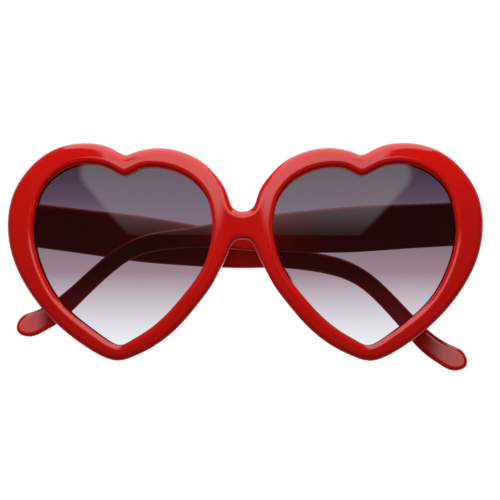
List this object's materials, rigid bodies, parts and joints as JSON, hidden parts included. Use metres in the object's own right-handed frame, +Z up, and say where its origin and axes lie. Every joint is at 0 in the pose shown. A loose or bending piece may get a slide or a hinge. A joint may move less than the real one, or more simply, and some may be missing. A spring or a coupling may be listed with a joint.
{
  "type": "heart shaped sunglasses",
  "caption": "Sunglasses with heart shaped rims, graduated smoke lenses, moulded nose pads and temples that fold on riveted barrel hinges, shown folded.",
  "frame": {"origin": "top of the nose arch under the bridge, in the middle of the plastic's thickness", "axes": "+X to the wearer's left along the front, +Y to the back, +Z up; the front looks along -Y"},
  "size_m": [0.147, 0.0253, 0.0702],
  "materials": {
    "red_plastic": "polished, opaque",
    "smoke_lens": "polished tinted plastic, dark at the top and nearly clear at the bottom",
    "hinge_metal": "satin",
    "screw_steel": "satin"
  },
  "bodies": {
    "front": {"front_frame": "red_plastic", "left_lens": "smoke_lens", "right_lens": "smoke_lens", "left_front_leaf": "hinge_metal", "right_front_leaf": "hinge_metal", "left_hinge_screw": "screw_steel", "right_hinge_screw": "screw_steel", "front_rivets": "screw_steel"},
    "left_temple": {"left_temple": "red_plastic", "left_temple_leaf": "hinge_metal", "left_temple_rivets": "screw_steel"},
    "right_temple": {"right_temple": "red_plastic", "right_temple_leaf": "hinge_metal", "right_temple_rivets": "screw_steel"}
  },
  "joints": [
    {"name": "left_temple_hinge", "type": "hinge", "parent": "front", "child": "left_temple", "pos_m": [0.0676, 0.01521, 0.0048], "axis": [-0.0384, 0, -0.9993], "range_deg": [0, 92.5]},
    {"name": "right_temple_hinge", "type": "hinge", "parent": "front", "child": "right_temple", "pos_m": [-0.0676, 0.01521, 0.0048], "axis": [0.0384, 0, 0.9993], "range_deg": [0, 88.56]}
  ]
}
